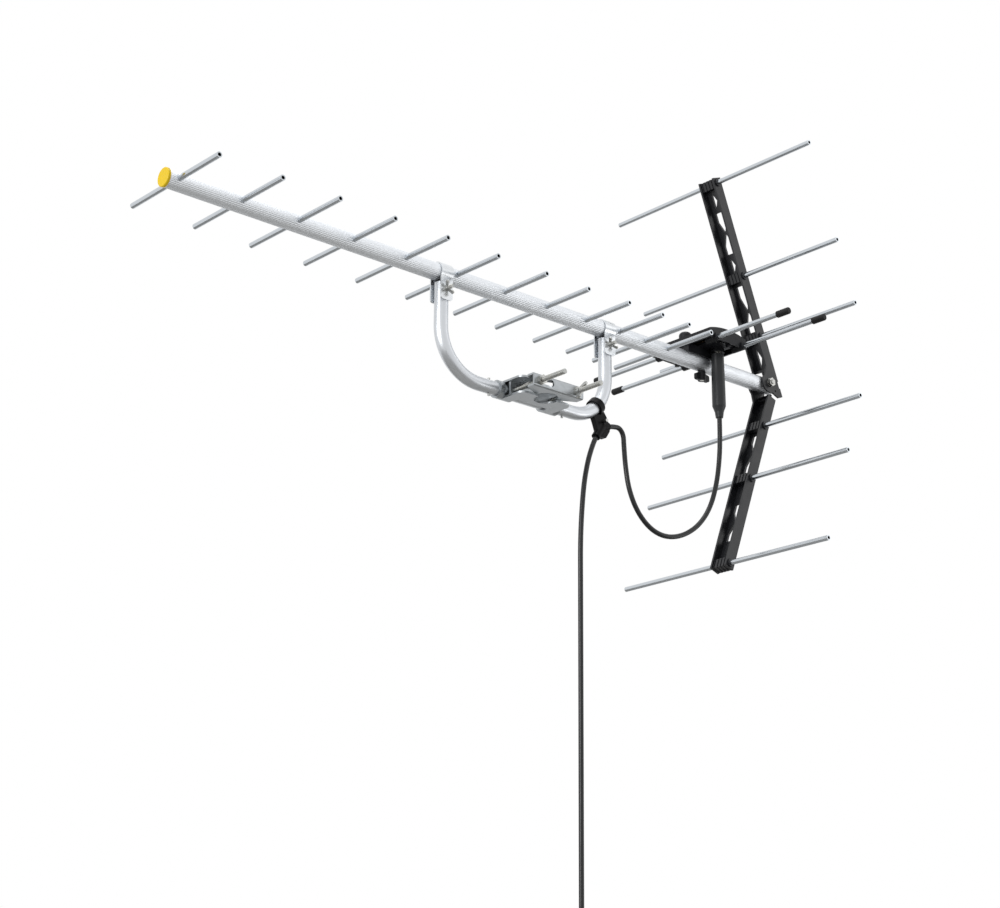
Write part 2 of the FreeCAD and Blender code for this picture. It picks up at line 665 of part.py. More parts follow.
def dipole_housing():
    shell = housing_section(0).cut(housing_section(HOUSING_WALL))
    foot = BOOM_Z + HOUSING_FOOT
    front = HOUSING_FRONT_X
    rear = HOUSING_REAR_X
    half = SADDLE_BLOCK_WIDTH / 2
    inset = HOUSING_WALL / 2
    middle = block(point(rear + inset, BOOM_Y - half, BOOM_Z + BOOM_R / 2),
                   point(front - inset, BOOM_Y + half, foot + HOUSING_WALL))
    dome_r = DOME_D / 2
    dome_x = DIPOLE_FRONT_X + DOME_AHEAD
    dome_foot = BOOM_Z + HOUSING_EDGE_TOP - HOUSING_WALL
    dome_height = BOOM_Z + DOME_TOP - dome_foot
    dome = cylinder(DOME_D, point(dome_x, BOOM_Y, dome_foot), Z_AXIS, dome_height)
    crown = [edge for edge in dome.Edges if edge.BoundBox.ZMin > dome_foot + dome_height / 2]
    dome = dome.makeFillet(min(dome_r, dome_height) * 0.6, crown)
    solid_parts = [shell, middle, dome] + dipole_sockets(SOCKET_D, SOCKET_DEPTH, SOCKET_LIP)
    ceiling = BOOM_Z + HOUSING_CROWN - HOUSING_WALL / 2
    outlet_foot = BOOM_Z + OUTLET_FOOT
    outlet = point(OUTLET_X, OUTLET_Y, outlet_foot)
    solid_parts.append(cylinder(OUTLET_BOSS_D, outlet, Z_AXIS, ceiling - outlet_foot))
    for hand in (-1, 1):
        post_y = BOOM_Y + hand * (HOUSING_WIDTH / 2 - POST_INSET)
        place = point(DIPOLE_FRONT_X - POST_BACK, post_y, BOOM_Z + POST_FOOT)
        solid_parts.append(cylinder(POST_D, place, Z_AXIS, ceiling - place.z))
    body = solid_parts[0].fuse(solid_parts[1:])
    seat_start = point(rear - 1, BOOM_Y, BOOM_Z)
    cuts = [cylinder(BOOM_D + 2 * FIT, seat_start, X_AXIS, front - rear + 2)]
    cuts += dipole_sockets(DIPOLE_ROD_D + 2 * FIT, SOCKET_DEPTH, SOCKET_LIP)
    cuts.append(cylinder(JACK_D + 2 * FIT, outlet, Z_AXIS, JACK_LENGTH / 4))
    cuts.append(cylinder(KNOB_BOLT_D + 2 * FIT, point(KNOB_X, BOOM_Y, BOOM_Z), Z_AXIS, HOUSING_FOOT))
    return body.cut(cuts)


def dipole_rod(x, span, hand):
    start_y = BOOM_Y + hand * (HOUSING_WIDTH / 2 - SOCKET_DEPTH)
    length = span / 2 - TIP_WALL - HOUSING_WIDTH / 2 + SOCKET_DEPTH
    start = point(x, start_y, DIPOLE_Z)
    return tube(DIPOLE_ROD_D, DIPOLE_ROD_WALL, start, FreeCAD.Vector(0, hand, 0), length)


def rod_tip(x, span, hand):
    """Rubber cap pushed over a rod's end."""
    axis = FreeCAD.Vector(0, hand, 0)
    end = BOOM_Y + hand * span / 2
    start = point(x, end - hand * TIP_LENGTH, DIPOLE_Z)
    cap = cylinder(TIP_D, start, axis, TIP_LENGTH)
    outer = [edge for edge in cap.Edges
             if edge.BoundBox.YLength < FIT and abs(edge.BoundBox.YMin - end) < TIP_LENGTH / 2]
    cap = cap.makeFillet(TIP_ROUND, outer)
    return cap.cut(cylinder(DIPOLE_ROD_D + 2 * FIT, start, axis, TIP_LENGTH - TIP_WALL))


def housing_bolt():
    """Bolt down through box and boom."""
    top = BOOM_Z + HOUSING_FOOT
    drop = HOUSING_FOOT + BOOM_R + KNOB_HEIGHT
    return cylinder(KNOB_BOLT_D, point(KNOB_X, BOOM_Y, top - drop), Z_AXIS, drop)


def housing_knob():
    """Moulded wing nut under the boom, its end hollowed to sit against the tube."""
    top = BOOM_Z - BOOM_R - FIT
    low = top - KNOB_HEIGHT
    hub = cylinder(KNOB_D, point(KNOB_X, BOOM_Y, low), Z_AXIS, KNOB_HEIGHT)
    half = KNOB_SPAN / 2
    y = BOOM_Y - KNOB_WING_T / 2
    outline = [point(KNOB_X - half, y, low), point(KNOB_X + half, y, low),
               point(KNOB_X + half, y, low + KNOB_WING_HEIGHT * 0.8),
               point(KNOB_X, y, low + KNOB_WING_HEIGHT),
               point(KNOB_X - half, y, low + KNOB_WING_HEIGHT * 0.8)]
    wings = rounded_prism(outline, KNOB_WING_T / 2, point(0, KNOB_WING_T, 0))
    bore = cylinder(KNOB_BOLT_D + 2 * FIT, point(KNOB_X, BOOM_Y, low), Z_AXIS, KNOB_HEIGHT)
    return fuse([hub, wings]).cut(bore)


def coax_jack():
    top = BOOM_Z + OUTLET_FOOT + JACK_LENGTH / 4
    start = point(OUTLET_X, OUTLET_Y, top)
    down = FreeCAD.Vector(0, 0, -1)
    body = cylinder(JACK_D, start, down, JACK_LENGTH)
    bore = cylinder(JACK_BORE, point(OUTLET_X, OUTLET_Y, top - JACK_LENGTH), Z_AXIS, JACK_LENGTH / 2)
    return body.cut(bore)


def connector_boot():
    """Rubber boot over the plug, turned about its own axis, with a nozzle for the lead."""
    top = BOOM_Z + OUTLET_FOOT - BOOT_GAP
    low = top - BOOT_LENGTH
    end = low - NOZZLE_LENGTH
    body = [point(0, 0, top), point(BOOT_NECK_D / 2, 0, top),
            point(BOOT_D / 2, 0, low + BOOT_LENGTH / 3),
            point(BOOT_D / 2, 0, low), point(NOZZLE_D / 2 + 1, 0, low - NOZZLE_LENGTH / 2),
            point(NOZZLE_D / 2, 0, end), point(0, 0, end)]
    boot = Part.Face(Part.makePolygon(body + [body[0]])).revolve(point(0, 0, 0), Z_AXIS, 360)
    shoulder = [edge for edge in boot.Edges
                if abs(edge.BoundBox.ZMax - low) < 0.01 and edge.BoundBox.ZLength < 0.01]
    boot = boot.makeFillet(BOOT_ROUND, shoulder)
    boot.translate(point(OUTLET_X, OUTLET_Y, 0))
    socket_drop = JACK_LENGTH * 3 / 4 - BOOT_GAP + FIT
    socket_foot = point(OUTLET_X, OUTLET_Y, top - socket_drop)
    socket = cylinder(JACK_D + 2 * FIT, socket_foot, Z_AXIS, socket_drop)
    return boot.cut(socket)


def box_plate(low, thickness):
    """Plate inside the dipole box, between its rows of sockets and posts and round the outlet."""
    middle_x = DIPOLE_FRONT_X - DIPOLE_SPACING / 2
    half_l = DIPOLE_SPACING / 2 - SOCKET_D / 2 - 2 * FIT
    half_w = HOUSING_WIDTH / 2 - POST_INSET - POST_D / 2 - 2 * FIT
    start = point(middle_x - half_l, BOOM_Y - half_w, low)
    plate = block(start, point(middle_x + half_l, BOOM_Y + half_w, low + thickness))
    outlet = point(OUTLET_X, OUTLET_Y, low)
    return plate.cut(cylinder(OUTLET_BOSS_D + 2 * FIT, outlet, Z_AXIS, thickness))


def housing_floor():
    """Recessed cover under the dipole box, resting on the block that sits on the boom."""
    return box_plate(BOOM_Z + HOUSING_FOOT + HOUSING_WALL + FIT, FLOOR_T)


def matching_board():
    """Board that matches the rods to the lead, lying on the cover."""
    return box_plate(BOOM_Z + HOUSING_FOOT + HOUSING_WALL + FLOOR_T + 2 * FIT, BOARD_T)


def cord_path(points):
    """Straight runs with a tangent arc at every point, each as large as its two runs allow."""
    edges = []
    radii = []
    last = points[0]
    for before, corner, after in zip(points, points[1:], points[2:]):
        back = before.sub(corner)
        ahead = after.sub(corner)
        trim = 0.45 * min(back.Length, ahead.Length)
        half = back.getAngle(ahead) / 2
        radii.append(trim * math.tan(half))
        enter = corner.add(back.normalize().multiply(trim))
        leave = corner.add(ahead.normalize().multiply(trim))
        inward = enter.add(leave).multiply(0.5).sub(corner).normalize()
        middle = corner.add(inward.multiply(trim / math.cos(half) - radii[-1]))
        edges.append(Part.LineSegment(last, enter).toShape())
        edges.append(Part.Arc(enter, middle, leave).toShape())
        last = leave
    edges.append(Part.LineSegment(last, points[-1]).toShape())
    return Part.Wire(edges), radii


def lead(name, points):
    path, radii = cord_path(points)
    body = sweep_round(path, LEAD_D)
    section = math.pi * LEAD_D ** 2 / 4
    ratio = body.Volume / (section * path.Length)
    print(name, "length %.0f" % path.Length, "volume ratio %.3f" % ratio,
          "radii", [round(radius) for radius in radii])
    return body


def coax_plug():
    """Crimped plug on the lead's lower end: sleeve, hexagon nut and centre pin."""
    above, end = drop_points()[-2:]
    down = end.sub(above).normalize()
    upright = FreeCAD.Vector(0, 0, -1)
    start = point(0, 0, 0)
    nut_at = point(0, 0, -PLUG_SLEEVE_LENGTH)
    pin_at = point(0, 0, -PLUG_SLEEVE_LENGTH - PLUG_NUT_LENGTH / 2)
    nut = hexagon(PLUG_NUT_AF, nut_at, upright, PLUG_NUT_LENGTH)
    nut = nut.cut(cylinder(JACK_D, pin_at, upright, PLUG_NUT_LENGTH / 2))
    plug = fuse([cylinder(PLUG_SLEEVE_D, start, upright, PLUG_SLEEVE_LENGTH), nut,
                 cylinder(PLUG_PIN_D, pin_at, upright, PLUG_PIN_LENGTH)])
    plug.Placement = FreeCAD.Placement(end, FreeCAD.Rotation(upright, down))
    return plug


def clip_frame():
    """Middle of the rear bend and the direction of the tube there."""
    bend = STAY_BEND_R * (1 - math.sqrt(0.5))
    middle = point(bend - UPRIGHT_X, BOOM_Y, bend)
    return middle, FreeCAD.Vector(1, 0, -1).normalize()


def clip_holder_place():
    middle, along = clip_frame()
    return middle.sub(point(CLIP_HOLDER_BACK, 0, CLIP_HOLDER_DROP))


def shifted(offsets, start):
    return [start.add(FreeCAD.Vector(*offset)) for offset in offsets]


def loop_points():
    nozzle = point(OUTLET_X, OUTLET_Y, BOOM_Z + OUTLET_FOOT - BOOT_GAP - BOOT_LENGTH - NOZZLE_LENGTH)
    return shifted(LOOP_FROM_OUTLET, nozzle) + shifted(LOOP_TO_CLIP, clip_holder_place())


def drop_points():
    return shifted(DROP_FROM_CLIP, clip_holder_place())


def cable_clip():
    """Snap-on ring on the stay arm with a hanging holder for the lead."""
    middle, along = clip_frame()
    outer_d = STAY_D + 2 * (FIT + CLIP_T)
    ring_start = middle.sub(FreeCAD.Vector(along).multiply(CLIP_WIDTH / 2))
    ring = cylinder(outer_d, ring_start, along, CLIP_WIDTH)
    neck_y = BOOM_Y - CLIP_NECK / 2
    outline = [point(middle.x + ahead, neck_y, middle.z + up) for ahead, up in CLIP_OUTLINE]
    neck = rounded_prism(outline, CLIP_CORNER, point(0, CLIP_NECK, 0))
    coming, turning, leaving = drop_points()[:3]
    barrel = []
    for start, end in ((coming, turning), (turning, leaving)):
        run = end.sub(start)
        barrel.append(cylinder(CLIP_BARREL_D, start, run, run.Length))
    barrel.append(Part.makeSphere(CLIP_BARREL_D / 2, turning))
    body = fuse([ring, neck] + barrel)
    bend = sweep_round(stay_path(), STAY_D + 2 * FIT)
    loop = sweep_round(cord_path(loop_points())[0], LEAD_D + 2 * FIT)
    drop = sweep_round(cord_path(drop_points())[0], LEAD_D + 2 * FIT)
    screw = clip_screw_start()
    hole = cylinder(CLIP_SCREW_D + 2 * FIT, screw, Y_AXIS, CLIP_NECK)
    seat = cylinder(CLIP_SCREW_HEAD_D + 2 * FIT, screw, FreeCAD.Vector(0, -1, 0), CLIP_SCREW_D)
    return body.cut([bend, loop, drop, hole, seat])


def clip_screw_start():
    """Under the screw's head, on the far side of the clip's neck."""
    middle, along = clip_frame()
    return point(middle.x - CLIP_SCREW_BACK, BOOM_Y - CLIP_NECK / 2, middle.z - CLIP_SCREW_DROP)


def clip_screw():
    start = clip_screw_start()
    head = cylinder(CLIP_SCREW_HEAD_D, start, FreeCAD.Vector(0, -1, 0), CLIP_SCREW_D / 2)
    return fuse([head, cylinder(CLIP_SCREW_D, start, Y_AXIS, CLIP_NECK + CLIP_SCREW_TIP)])


def arm_windows():
    """Openings of the arm's web, as plan points (across, along): between every two rods a pair of
    bays about a rib, and slits beside the pivot and at both ends of the long field."""
    inner, middle, outer = ROD_STATIONS
    windows = []

    def slit(low, high):
        windows.append([(-SLIT_SIDE, low), (-SLIT_SIDE, high), (SLIT_POINT, (low + high) / 2)])

    def bay(rib, end):
        turn = end - (end - rib) * BAY_TURN
        windows.append([(-BAY_HALF, end), (BAY_HALF, end), (BAY_HALF, turn), (BAY_POINT, rib),
                        (-BAY_POINT, rib), (-BAY_HALF, turn)])

    slit_start = RAIL_START + HUB_WALL
    slit(slit_start, slit_start + PIVOT_SLIT)
    rib = inner + (middle - inner) * SHORT_RIB
    half = (middle - inner - BOSS_LENGTH) / 2
    for hand, share in ((-1, SHORT_INNER_BAY), (1, SHORT_OUTER_BAY)):
        near = rib + hand * STRUT / 2
        bay(near, near + hand * half * share)
    rib = middle + (outer - middle) * LONG_RIB
    half = (outer - middle - BOSS_LENGTH) / 2
    for hand in (-1, 1):
        near = rib + hand * STRUT / 2
        end = near + hand * half * LONG_BAY
        bay(near, end)
        beyond = end + hand * STRUT
        slit(beyond, beyond + hand * half * LONG_SLIT)
    return windows


def arm_ear(rail_low, rail_high, ear_in):
    """Hinge ear: a disc about the pivot, a shoulder up to the rail and a slanting tail."""
    along = point(0, RAIL_T, 0)
    disc = cylinder(2 * EAR_R, point(0, ear_in, 0), Y_AXIS, RAIL_T)
    shoulder = [(rail_low, 0), (0, 0), (EAR_R * 0.3, EAR_R * 0.95), (rail_high, EAR_SHOULDER),
                (rail_low, EAR_SHOULDER)]
    tail = [(0, 0), (rail_low, 0), (rail_low, -EAR_TAIL), (rail_low + EAR_TAIL_WIDTH, -EAR_TAIL),
            (0, -EAR_R)]
    plates = [prism([point(x, ear_in, z) for x, z in outline], along) for outline in (shoulder, tail)]
    pocket_top = -EAR_POCKET_DROP
    pocket = block(point(rail_low, ear_in + RAIL_T / 2, pocket_top - EAR_POCKET_LENGTH),
                   point(rail_low + EAR_POCKET, ear_in + RAIL_T, pocket_top))
    pivot = cylinder(PIVOT_BOLT_D + 2 * RUNNING, point(0, ear_in, 0), Y_AXIS, RAIL_T)
    hole = cylinder(EAR_HOLE_D, point(-EAR_HOLE_BACK, ear_in, -EAR_HOLE_DROP), Y_AXIS, RAIL_T)
    return fuse([disc] + plates).cut([pocket, pivot, hole])


def arm_web(rail_low, ear_in, ear_out, top):
    """Windowed web between the rails, with a cross wall above the boom."""
    low = rail_low + WEB_BACK
    foot = block(point(low, -ear_in / 2, WEB_START), point(low + WEB_T, ear_out, RAIL_START))
    plate = block(point(low, -ear_out, RAIL_START), point(low + WEB_T, ear_out, top))
    windows = []
    for outline in arm_windows():
        corners = [point(rail_low, across, along) for across, along in outline]
        corner = WINDOW_CORNER if len(corners) > 3 else WINDOW_CORNER / 2
        windows.append(rounded_prism(corners, corner, point(RAIL_DEPTH, 0, 0)))
    wall = block(point(rail_low, -ear_in, RAIL_START),
                 point(rail_low + HUB_REACH, ear_in, RAIL_START + HUB_WALL))
    return fuse([foot, plate.cut(windows), wall])


def reflector_arm():
    """Upper arm in its own frame: pivot at the origin, +Z along the arm and +X to the front."""
    ear_in = BOOM_R + SIDE_GAP
    ear_out = ear_in + RAIL_T
    rail_low = -ROD_SETBACK - RAIL_DEPTH / 2
    rail_high = -ROD_SETBACK + RAIL_DEPTH / 2
    boss_front = rail_high - BOSS_RECESS
    top = OUTER_ROD + ARM_END
    pieces = [arm_ear(rail_low, rail_high, ear_in),
              block(point(rail_low, ear_in, EAR_SHOULDER), point(rail_high, ear_out, top)),
              block(point(rail_low, -ear_out, RAIL_START), point(rail_high, -ear_in, top)),
              arm_web(rail_low, ear_in, ear_out, top)]
    cuts = []
    pitch = 2 * ear_in / GROOVES
    groove_places = [(i + 0.5) * pitch - ear_in for i in range(GROOVES)]
    for station in ROD_STATIONS:
        low = station - BOSS_LENGTH / 2
        high = min(station + BOSS_LENGTH / 2, top)
        pieces.append(block(point(rail_low, -ear_out, low), point(boss_front, ear_out, high)))
        collar_end = ear_out + COLLAR_T
        start = point(-ROD_SETBACK, -collar_end, station)
        pieces.append(cylinder(COLLAR_D, start, Y_AXIS, 2 * collar_end))
        cuts.append(cylinder(ELEMENT_D + 2 * FIT, start, Y_AXIS, 2 * collar_end))
        for across in groove_places:
            cuts.append(block(point(boss_front - GROOVE_DEPTH, across - GROOVE / 2, low),
                              point(boss_front, across + GROOVE / 2, high)))
    for across in groove_places:
        cuts.append(block(point(rail_low, across - GROOVE / 2, top - GROOVE_DEPTH),
                          point(rail_high, across + GROOVE / 2, top)))
    return fuse(pieces).cut(cuts)


def reflector_rod(station):
    """Rod in the upper arm's own frame, centred on the boom."""
    start = point(-ROD_SETBACK, -REFLECTOR_ROD_LENGTH / 2, station)
    return tube(ELEMENT_D, ELEMENT_WALL, start, Y_AXIS, REFLECTOR_ROD_LENGTH)


def place_upper(shape):
    shape = shape.copy()
    shape.rotate(point(0, 0, 0), Y_AXIS, LEAN)
    shape.translate(point(PIVOT_X, BOOM_Y, BOOM_Z))
    return shape


def place_lower(shape):
    """The lower arm is the same moulding, turned over about the boom."""
    shape = place_upper(shape)
    shape.rotate(point(PIVOT_X, BOOM_Y, BOOM_Z), X_AXIS, 180)
    return shape


def pivot_bolt():
    reach = BOOM_R + SIDE_GAP + RAIL_T + FIT
    length = 2 * reach + WASHER_T + HEX_HEIGHT + PIVOT_BOLT_D / 3
    return bolt(PIVOT_BOLT_D, HEX_AF, point(PIVOT_X, BOOM_Y - reach, BOOM_Z), Y_AXIS, length)


def pivot_nut():
    reach = BOOM_R + SIDE_GAP + RAIL_T + FIT
    return hex_nut(PIVOT_BOLT_D, point(PIVOT_X, BOOM_Y + reach, BOOM_Z), Y_AXIS)


def save_boom():
    save("boom", boom())
    save("boom_front_cap", boom_front_cap())
    for number, x in enumerate(director_places(), 1):
        length = SHORT_DIRECTOR_LENGTH if number <= SHORT_DIRECTORS else LONG_DIRECTOR_LENGTH
        save("director_%02d" % number, cross_rod(x, BOOM_Y, BOOM_Z, length, ELEMENT_D, ELEMENT_WALL))


def save_stay():
    save("stay_arm", stay_arm())
    save("stay_pins", stay_pins())
    for end, x, turn in (("front", UPRIGHT_X, 55), ("rear", -UPRIGHT_X, 40)):
        save(end + "_boom_clamp", boom_clamp(x))
        save(end + "_clamp_bolt", clamp_bolt(x))
        save(end + "_clamp_wing_nut", clamp_wing_nut(x, turn))


def save_mast_clamp():
    save("mast_bracket", mast_bracket())
    save("anchor_plate", anchor_plate())
    save("mast_saddle", mast_saddle())
    front, rear = mast_bolt_places()
    save("front_mast_bolt", mast_bolt(front))
    save("rear_mast_bolt", mast_bolt(rear))
    save("mast_hex_nut", hex_nut(MAST_BOLT_D, point(front, SADDLE_WEB_Y, 0), Y_AXIS))
    wings = FreeCAD.Vector(-0.5, 0, 0.866)
    save("mast_wing_nut", wing_nut(MAST_BOLT_D, point(rear, SADDLE_WEB_Y, 0), Y_AXIS, wings, 1))


def save_dipole():
    save("dipole_housing", dipole_housing())
    save("housing_floor", housing_floor())
    save("matching_board", matching_board())
    save("housing_bolt", housing_bolt())
    save("housing_knob", housing_knob())
    pairs = (("front", DIPOLE_FRONT_X, FRONT_DIPOLE_SPAN), ("rear", DIPOLE_REAR_X, REAR_DIPOLE_SPAN))
    for place, x, span in pairs:
        for side, hand in (("left", -1), ("right", 1)):
            save("%s_%s_dipole_rod" % (place, side), dipole_rod(x, span, hand))
            save("%s_%s_rod_tip" % (place, side), rod_tip(x, span, hand))


def save_reflector():
    arm = reflector_arm()
    save("upper_reflector_arm", place_upper(arm))
    save("lower_reflector_arm", place_lower(arm))
    for number, station in enumerate(reversed(ROD_STATIONS), 1):
        save("reflector_rod_%d" % number, place_upper(reflector_rod(station)))
    for number, station in enumerate(ROD_STATIONS, 4):
        save("reflector_rod_%d" % number, place_lower(reflector_rod(station)))
    save("pivot_bolt", pivot_bolt())
    save("pivot_nut", pivot_nut())


def save_lead():
    save("coax_jack", coax_jack())
    save("connector_boot", connector_boot())
    save("coax_loop", lead("coax_loop", loop_points()))
    save("coax_drop", lead("coax_drop", drop_points()))
    save("coax_plug", coax_plug())
    save("cable_clip", cable_clip())
    save("clip_screw", clip_screw())


def main():
    os.makedirs("parts", exist_ok=True)
    save_boom()
    save_stay()
    save_mast_clamp()
    save_dipole()
    save_reflector()
    save_lead()


main()
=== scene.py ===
"""Dresses a UHF television antenna: coaxial lead, threaded bolts, finishes and a plain studio."""

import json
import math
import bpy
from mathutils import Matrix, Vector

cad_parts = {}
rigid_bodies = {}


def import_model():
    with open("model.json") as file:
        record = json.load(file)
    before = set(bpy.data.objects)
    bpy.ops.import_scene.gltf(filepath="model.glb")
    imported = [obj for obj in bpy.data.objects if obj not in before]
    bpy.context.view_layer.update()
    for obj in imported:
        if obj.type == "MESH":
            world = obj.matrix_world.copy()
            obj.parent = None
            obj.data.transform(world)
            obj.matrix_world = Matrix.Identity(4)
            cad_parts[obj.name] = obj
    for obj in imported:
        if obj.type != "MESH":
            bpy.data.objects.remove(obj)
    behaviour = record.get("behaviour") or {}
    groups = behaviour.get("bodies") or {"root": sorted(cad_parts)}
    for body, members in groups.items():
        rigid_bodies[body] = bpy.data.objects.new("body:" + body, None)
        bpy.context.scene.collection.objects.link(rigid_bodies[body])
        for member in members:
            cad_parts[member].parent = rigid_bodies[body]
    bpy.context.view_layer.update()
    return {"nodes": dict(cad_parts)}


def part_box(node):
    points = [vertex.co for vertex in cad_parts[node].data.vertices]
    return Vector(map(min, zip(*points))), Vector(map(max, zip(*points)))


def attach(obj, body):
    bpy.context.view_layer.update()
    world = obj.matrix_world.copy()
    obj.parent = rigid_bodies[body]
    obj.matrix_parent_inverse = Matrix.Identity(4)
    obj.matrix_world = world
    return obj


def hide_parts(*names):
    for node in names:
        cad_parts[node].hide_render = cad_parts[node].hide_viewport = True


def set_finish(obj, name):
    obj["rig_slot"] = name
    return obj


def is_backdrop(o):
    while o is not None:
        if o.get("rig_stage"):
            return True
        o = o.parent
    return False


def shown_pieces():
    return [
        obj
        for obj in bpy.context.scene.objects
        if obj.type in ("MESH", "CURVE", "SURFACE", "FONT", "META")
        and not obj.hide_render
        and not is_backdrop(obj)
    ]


bl_info = {
    "name": "UHF Antenna Dressing",
    "version": (1, 0, 0),
    "blender": (4, 5, 0),
    "location": "View3D > Sidebar > Antenna",
    "description": "Lead, threaded bolts, finishes and studio for a television antenna",
    "category": "Object",
}

import bpy
from mathutils import Vector

for leftover in list(bpy.data.objects):
    bpy.data.objects.remove(leftover)
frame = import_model()

# The lead's route in metres: out of the boot, round the hanging loop, through the clip and down
LOOP_ROUTE = (
    (-0.3040, -0.0130, 0.0424), (-0.3040, -0.0130, 0.0229), (-0.3035, -0.0142, -0.0071),
    (-0.2995, -0.0165, -0.0411), (-0.2890, -0.0185, -0.0741), (-0.2700, -0.0205, -0.1001),
    (-0.2440, -0.0225, -0.1176), (-0.2170, -0.0245, -0.1246), (-0.1931, -0.0265, -0.1194),
    (-0.1731, -0.0285, -0.1019), (-0.1611, -0.0305, -0.0759), (-0.1573, -0.0318, -0.0469),
    (-0.1563, -0.0327, -0.0220), (-0.1561, -0.0330, -0.0083), (-0.1494, -0.0330, -0.0010),
    (-0.1380, -0.0330, -0.0023), (-0.1300, -0.0330, -0.0044),
)
DROP_ROUTE = (
    (-0.1204, -0.0330, -0.0069), (-0.1103, -0.0330, -0.0215), (-0.1035, -0.0330, -0.0359),
    (-0.0966, -0.0330, -0.0549), (-0.0895, -0.0330, -0.0859), (-0.0842, -0.0332, -0.1434),
    (-0.0837, -0.0332, -0.2011), (-0.0801, -0.0330, -0.6049),
)

# Nodes of the bolts, those of one size together
BOLT_SETS = (
    ("front_clamp_bolt", "rear_clamp_bolt"),
    ("front_mast_bolt", "rear_mast_bolt"),
    ("pivot_bolt",),
)
# One turn of a thread as rises in depths and runs in half pitches: flank, crest, flank, root
THREAD_PROFILE = ((1, 0.75), (0, 0.25), (-1, 0.75), (0, 0.25))
THREAD_FACETS = 24
WELD_PARTS = 200       # points closer than this part of the pitch become one
HEAD_EDGE_PARTS = 7    # a head's edge is rounded by this part of its height
QUARTER_TURN = math.radians(-90)    # from +Z to +Y
SMOOTH_BELOW = math.radians(35)

# Sizes of the materials' patterns in metres
DRAWN_LINE_GAP = 0.001
DRAWN_LINE_LENGTH = 0.120
DRAWN_CLOUD = 0.030
ZINC_PATCH = 0.007
ZINC_GRAIN = 0.0012
ZINC_CRYSTAL = 0.006
SHEET_GRAIN = 0.001
WEATHER_BLOOM = 0.025
FINE_RELIEF = 0.0002   # height that a bump stands for
GRAIN_RELIEF = 0.0003
NOISE_LOW, NOISE_HIGH = 0.3, 0.7    # most of a noise pattern lies between these
PLASTIC_IOR = 1.49
MIX_FACTOR, MIX_FIRST, MIX_SECOND, MIX_RESULT = 0, 6, 7, 2    # sockets of a Mix node for colours

# Soft round lamps: the setting of their power, place and width in metres, spread in degrees
LAMPS = {
    "key_lamp": ("key_power", (-1.9, 1.3, 0.85), 1.2, 180),
    "top_lamp": ("top_power", (0.2, 0.1, 2.2), 2.2, 180),
    "fill_lamp": ("fill_power", (2.4, 0.3, 0.4), 1.6, 80),
    "bounce_lamp": ("bounce_power", (-2.1, 1.7, -0.8), 1.2, 60),
}
LAMP_TARGET = (0, 0, 0.1)
FLOOR_RADIUS = 2.6
FLOOR_SIDES = 128
FALLING_LEVEL = 0.35    # of the surroundings' light on the object
SHOWN_LEVEL = 1.0       # of the surroundings where they are seen
SENSOR_WIDTH = 36       # mm
NEAREST_SEEN = 0.01


def linear(code):
    """An sRGB hex colour as linear RGB."""
    channels = []
    for start in (0, 2, 4):
        value = int(code[start:start + 2], 16) / 255
        channels.append(value / 12.92 if value <= 0.04045 else ((value + 0.055) / 1.055) ** 2.4)
    return tuple(channels)


def tint(label, about, code):
    """A colour setting that starts from an sRGB hex colour."""
    return bpy.props.FloatVectorProperty(
        name=label, description=about, subtype="COLOR", size=3, min=0, max=1, default=linear(code))


class LeadSettings(bpy.types.PropertyGroup):
    diameter: bpy.props.FloatProperty(
        name="Diameter", description="Outside diameter of the coaxial lead",
        default=0.006, min=0.002, max=0.012, subtype="DISTANCE", unit="LENGTH")
    length: bpy.props.FloatProperty(
        name="Length", description="Length of the lead from the boot to its plug",
        default=1.0, min=0.5, max=2.0, subtype="DISTANCE", unit="LENGTH")


class BoltSettings(bpy.types.PropertyGroup):
    thread_share: bpy.props.FloatProperty(
        name="Thread width", description="Diameter over the crests as a share of the head's width",
        default=0.61, min=0.4, max=0.8, subtype="FACTOR")
    pitch: bpy.props.FloatProperty(
        name="Pitch", description="Distance from one turn of the thread to the next",
        default=0.001, min=0.0005, max=0.003, subtype="DISTANCE", unit="LENGTH")
    depth: bpy.props.FloatProperty(
        name="Thread depth", description="From the crests down to the roots",
        default=0.0006, min=0.0001, max=0.002, subtype="DISTANCE", unit="LENGTH")
    head_height: bpy.props.FloatProperty(
        name="Head height", description="Height of the hexagon heads",
        default=0.0035, min=0.001, max=0.01, subtype="DISTANCE", unit="LENGTH")


class FinishSettings(bpy.types.PropertyGroup):
    boom: tint("Boom", "Anodised boom tube", "e2e5e9")
    rods: tint("Rods", "Drawn aluminium of directors, dipole and reflector rods", "c8cdd2")
    stay: tint("Stay arm", "Satin tube of the stay arm", "ced1d5")
    strap: tint("Straps", "Bright zinc of the boom clamps", "dde0e3")
    zinc: tint("Fasteners", "Passivated zinc of bolts, nuts and pins", "b2b5b7")
    passivation: tint("Passivation", "Warmer patches on the fasteners' zinc", "bab8b0")
    galvanised: tint("Mast clamp", "Hot-dip zinc of the mast clamp's sheet", "a9adb0")
    moulding: tint("Mouldings", "Black plastic of box, knob and reflector arms", "15161a")
    clip: tint("Clip", "Black nylon of the cable clip", "08080a")
    rubber: tint("Tips", "Black rubber of the dipole tips", "111112")
    boot: tint("Boot", "Dark rubber of the connector boot", "2b2d2f")
    sheath: tint("Lead", "Black jacket of the coaxial lead", "181a1c")
    cap: tint("Front cap", "Yellow plastic of the boom's front cap", "f2cd1c")
    board: tint("Board", "Laminate of the matching board", "3b2f20")
    plug: tint("Plug", "Nickel of the plug and the jack", "c2c0b8")


